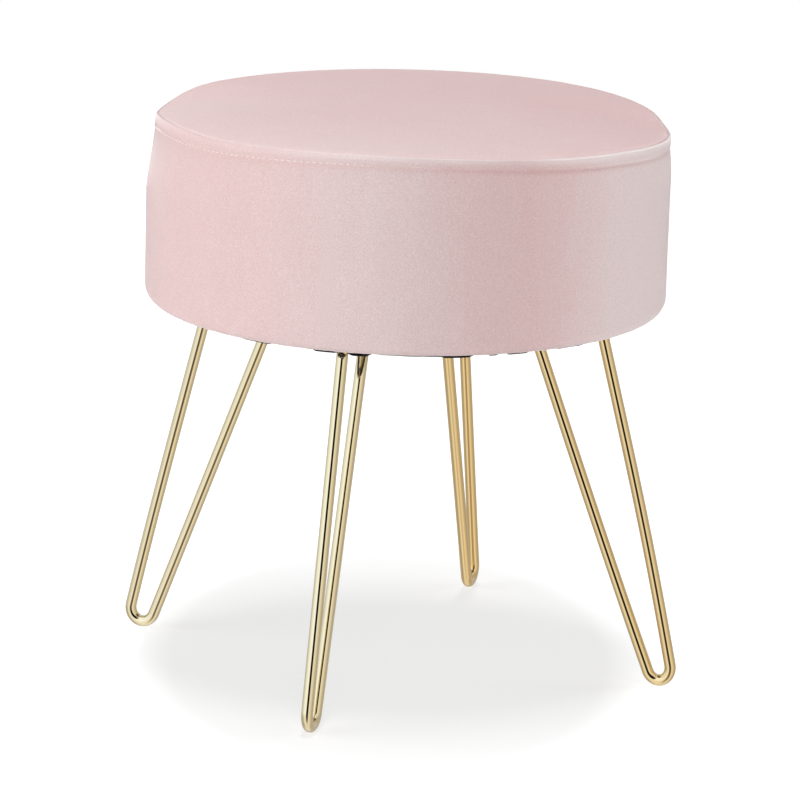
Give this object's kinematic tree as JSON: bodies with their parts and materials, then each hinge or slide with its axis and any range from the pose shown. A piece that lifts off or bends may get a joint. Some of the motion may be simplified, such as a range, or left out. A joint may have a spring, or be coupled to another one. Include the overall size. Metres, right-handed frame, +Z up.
{
  "type": "vanity stool",
  "caption": "Round vanity stool: a velvet-covered drum seat with a topstitched rim, standing on splayed hairpin legs of gold-coloured rod.",
  "frame": {"origin": "on the floor under the middle of the seat", "axes": "+Z up through the middle of the seat; the four legs stand along +X, +Y, -X and -Y, and -Y is the pictured front"},
  "size_m": [0.408, 0.408, 0.395],
  "materials": {
    "velvet": "matte",
    "thread": "satin",
    "foam": "matte",
    "hardboard": "matte",
    "plywood": "matte",
    "timber": "matte",
    "black_cloth": "matte",
    "zinc_steel": "satin",
    "gold_plate": "polished"
  },
  "bodies": {
    "root": {"top_cover": "velvet", "side_cover": "velvet", "topstitch": "thread", "seat_foam": "foam", "side_wadding": "foam", "wall_hoop": "hardboard", "seat_board": "plywood", "base_board": "plywood", "post_back_right": "timber", "post_back_left": "timber", "post_front_left": "timber", "post_front_right": "timber", "dust_cover": "black_cloth", "hem_staples": "zinc_steel", "dust_cover_staples": "zinc_steel", "seat_board_screws": "zinc_steel", "base_board_screws": "zinc_steel", "tee_nuts": "zinc_steel", "leg_screws": "zinc_steel", "leg_right": "gold_plate", "leg_plate_right": "gold_plate", "leg_back": "gold_plate", "leg_plate_back": "gold_plate", "leg_left": "gold_plate", "leg_plate_left": "gold_plate", "leg_front": "gold_plate", "leg_plate_front": "gold_plate"}
  },
  "joints": []
}
